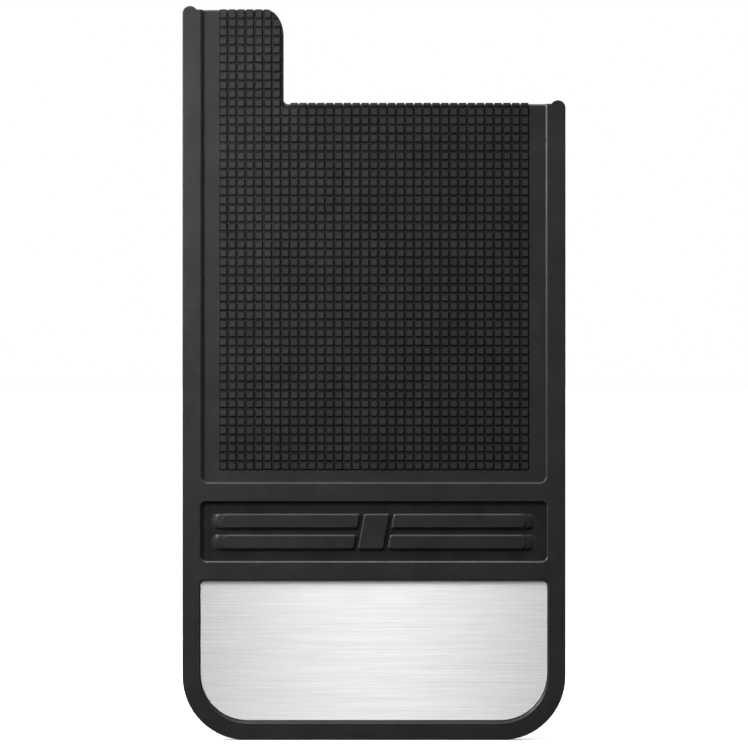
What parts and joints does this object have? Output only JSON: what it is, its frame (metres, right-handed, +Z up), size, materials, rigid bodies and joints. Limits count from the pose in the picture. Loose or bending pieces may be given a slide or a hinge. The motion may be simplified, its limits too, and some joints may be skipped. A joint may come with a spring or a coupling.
{
  "type": "mud flap",
  "caption": "Moulded rubber mud flap with a raised block field, thick rims, a tab at one upper corner and a recessed brushed metal plate at its lower end.",
  "frame": {"origin": "on the back face of the top band, mid-width, 20.7 mm below the plain top edge, where the flap is clamped to its vehicle", "axes": "+Z up the hanging flap; the front, with the blocks and the plate, faces -Y; +X is to the right when the front is looked at, so the tab is on the -X side"},
  "size_m": [0.3048, 0.0164, 0.5842],
  "materials": {
    "rubber": "satin moulded black rubber with a fine grain",
    "brushed_stainless": "stainless steel brushed along the width",
    "stainless_stud": "plain stainless thread",
    "zinc_plated_steel": "bright zinc plating",
    "nylon": "natural nylon"
  },
  "bodies": {
    "mount_section": {"mount_section_rubber": "rubber"},
    "upper_flap": {"upper_flap_rubber": "rubber"},
    "middle_flap": {"middle_flap_rubber": "rubber"},
    "weighted_end": {"lower_flap_rubber": "rubber", "face_plate": "brushed_stainless", "plate_stud_1": "stainless_stud", "plate_stud_2": "stainless_stud", "plate_stud_3": "stainless_stud", "plate_stud_4": "stainless_stud", "plate_stud_5": "stainless_stud", "plate_stud_6": "stainless_stud", "stud_washer_1": "zinc_plated_steel", "stud_washer_2": "zinc_plated_steel", "stud_washer_3": "zinc_plated_steel", "stud_washer_4": "zinc_plated_steel", "stud_washer_5": "zinc_plated_steel", "stud_washer_6": "zinc_plated_steel", "lock_nut_1": "zinc_plated_steel", "lock_nut_2": "zinc_plated_steel", "lock_nut_3": "zinc_plated_steel", "lock_nut_4": "zinc_plated_steel", "lock_nut_5": "zinc_plated_steel", "lock_nut_6": "zinc_plated_steel", "nylon_ring_1": "nylon", "nylon_ring_2": "nylon", "nylon_ring_3": "nylon", "nylon_ring_4": "nylon", "nylon_ring_5": "nylon", "nylon_ring_6": "nylon"}
  },
  "joints": [
    {"name": "upper_flex", "type": "hinge", "parent": "mount_section", "child": "upper_flap", "pos_m": [0, -0.004, -0.04537], "axis": [1, 0, 0], "range_deg": [-30, 30], "stiffness_Nm_per_rad": 0.2},
    {"name": "middle_flex", "type": "hinge", "parent": "upper_flap", "child": "middle_flap", "pos_m": [0, -0.004, -0.15113], "axis": [1, 0, 0], "range_deg": [-30, 30], "stiffness_Nm_per_rad": 0.2},
    {"name": "lower_flex", "type": "hinge", "parent": "middle_flap", "child": "weighted_end", "pos_m": [0, -0.004, -0.25688], "axis": [1, 0, 0], "range_deg": [-30, 30], "stiffness_Nm_per_rad": 0.2}
  ]
}
